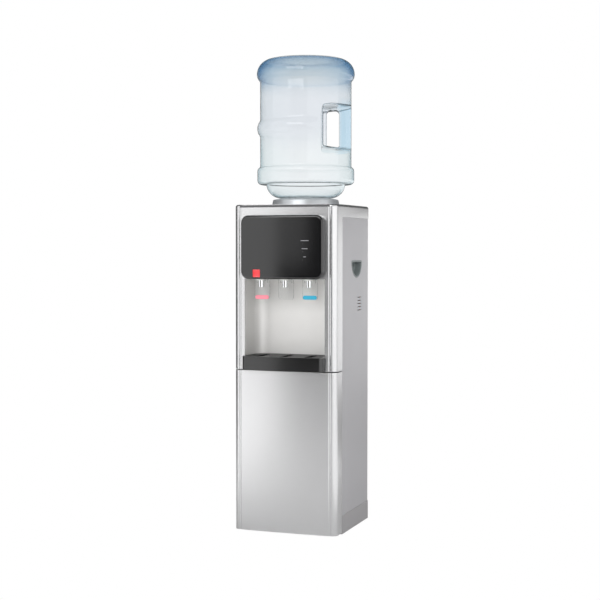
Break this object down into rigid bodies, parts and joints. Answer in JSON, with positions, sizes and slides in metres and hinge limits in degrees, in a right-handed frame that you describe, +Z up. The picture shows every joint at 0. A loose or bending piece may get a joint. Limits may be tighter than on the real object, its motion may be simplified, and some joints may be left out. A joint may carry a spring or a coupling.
{
  "type": "water cooler",
  "caption": "Free-standing top load water cooler with an upturned bottle, hot, room and cold taps, a drip tray and a storage cabinet with a hinged door.",
  "frame": {"origin": "on the floor under the centre of the whole object's box", "axes": "+Z up, -Y towards the front with the taps, +X to the right seen from the front"},
  "size_m": [0.3005, 0.348, 1.325],
  "materials": {
    "silver_shell": "satin silver, fine metallic flake",
    "side_sheet": "satin grey paint",
    "base_steel": "satin grey paint",
    "galvanised": "spangled zinc",
    "dark_trim": "matt",
    "recess_plastic": "satin moulded",
    "black_gloss": "piano gloss",
    "lamp_lens": "clear lens",
    "red_button": "gloss",
    "grip_plastic": "grained",
    "tap_white": "gloss",
    "paddle_clear": "clear moulded",
    "hot_red": "translucent gloss",
    "cold_blue": "translucent gloss",
    "tray_black": "gloss",
    "grille_grey": "satin",
    "collar_silver": "bright silver",
    "guard_white": "moulded",
    "bottle_clear": "blue tinted",
    "stainless": "brushed",
    "copper": "drawn copper",
    "foam": "closed cell",
    "heater_band": "mica band",
    "hose_silicone": "translucent",
    "liner_white": "vacuum formed",
    "gasket_grey": "soft",
    "steel_pin": "polished",
    "compressor_black": "semi gloss",
    "rubber_black": "matt",
    "condenser_black": "semi gloss",
    "inlet_black": "satin",
    "switch_red": "gloss",
    "switch_green": "gloss",
    "cap_blue": "moulded",
    "zinc_screw": "zinc plated"
  },
  "bodies": {
    "cabinet": {"base_plate": "base_steel", "levelling_feet": "rubber_black", "side_panel_left": "side_sheet", "side_panel_right": "side_sheet", "rear_panel": "galvanised", "service_plate": "galvanised", "rear_panel_screws": "zinc_screw", "top_cover": "silver_shell", "top_trim": "dark_trim", "front_frame": "silver_shell", "recess_liner": "recess_plastic", "control_panel": "black_gloss", "indicator_lenses": "lamp_lens", "grip_left": "grip_plastic", "grip_right": "grip_plastic", "tap_rail": "galvanised", "hot_tap": "tap_white", "room_tap": "tap_white", "cold_tap": "tap_white", "bottle_collar": "collar_silver", "water_guard": "guard_white", "cold_tank": "stainless", "evaporator_coil": "copper", "tank_jackets": "foam", "hot_tank": "stainless", "band_heater": "heater_band", "water_hoses": "hose_silicone", "inner_decks": "galvanised", "storage_liner": "liner_white", "door_hinge_pins": "steel_pin", "compressor": "compressor_black", "compressor_grommets": "rubber_black", "condenser_tube": "condenser_black", "condenser_wires": "condenser_black", "refrigerant_lines": "copper", "drain_pipe": "guard_white", "power_inlet": "inlet_black", "switch_housing": "inlet_black", "cold_thermostat": "inlet_black"},
    "bottle": {"bottle_neck": "bottle_clear", "bottle_shoulder": "bottle_clear", "bottle_body": "bottle_clear", "bottle_handle": "bottle_clear", "bottle_dome": "bottle_clear", "bottle_cap": "cap_blue"},
    "hot_lever": {"hot_paddle": "paddle_clear", "hot_marker": "hot_red"},
    "room_lever": {"room_paddle": "paddle_clear"},
    "cold_lever": {"cold_paddle": "paddle_clear", "cold_marker": "cold_blue"},
    "child_lock": {"child_lock_button": "red_button"},
    "tray": {"drip_tray": "tray_black"},
    "grille": {"drip_grille": "grille_grey"},
    "door": {"door_skin": "silver_shell", "door_liner": "liner_white", "door_gasket": "gasket_grey"},
    "hot_rocker": {"hot_switch": "switch_red"},
    "cold_rocker": {"cold_switch": "switch_green"},
    "knob": {"thermostat_knob": "inlet_black"},
    "cap": {"drain_cap": "cap_blue"}
  },
  "joints": [
    {"name": "bottle_lift", "type": "slide", "parent": "cabinet", "child": "bottle", "axis": [0, 0, 1], "range_m": [0, 0.12]},
    {"name": "hot_push", "type": "hinge", "parent": "cabinet", "child": "hot_lever", "pos_m": [-0.07, -0.133, 0.718], "axis": [1, 0, 0], "range_deg": [0, 12], "stiffness_Nm_per_rad": 0.6, "springref_deg": -5.73},
    {"name": "room_push", "type": "hinge", "parent": "cabinet", "child": "room_lever", "pos_m": [0, -0.133, 0.718], "axis": [1, 0, 0], "range_deg": [0, 12], "stiffness_Nm_per_rad": 0.6, "springref_deg": -5.73},
    {"name": "cold_push", "type": "hinge", "parent": "cabinet", "child": "cold_lever", "pos_m": [0.07, -0.133, 0.718], "axis": [1, 0, 0], "range_deg": [0, 12], "stiffness_Nm_per_rad": 0.6, "springref_deg": -5.73},
    {"name": "lock_press", "type": "slide", "parent": "cabinet", "child": "child_lock", "axis": [0, 1, 0], "range_m": [0, 0.003], "stiffness_N_per_m": 600, "springref_m": -0.001},
    {"name": "tray_pull", "type": "slide", "parent": "cabinet", "child": "tray", "axis": [0, -1, 0], "range_m": [0, 0.13]},
    {"name": "grille_lift", "type": "slide", "parent": "tray", "child": "grille", "axis": [0, 0, 1], "range_m": [0, 0.05]},
    {"name": "door_swing", "type": "hinge", "parent": "cabinet", "child": "door", "pos_m": [-0.1445, -0.105, 0.23], "axis": [0, 0, -1], "range_deg": [0, 110]},
    {"name": "hot_switch_rock", "type": "hinge", "parent": "cabinet", "child": "hot_rocker", "pos_m": [0.048, 0.145, 0.282], "axis": [1, 0, 0], "range_deg": [0, 14]},
    {"name": "cold_switch_rock", "type": "hinge", "parent": "cabinet", "child": "cold_rocker", "pos_m": [0.022, 0.145, 0.282], "axis": [1, 0, 0], "range_deg": [0, 14]},
    {"name": "thermostat_turn", "type": "hinge", "parent": "cabinet", "child": "knob", "pos_m": [-0.026, 0.152, 0.282], "axis": [0, 1, 0], "range_deg": [0, 270]},
    {"name": "cap_pull", "type": "slide", "parent": "cabinet", "child": "cap", "axis": [0, 1, 0], "range_m": [0, 0.02]}
  ]
}
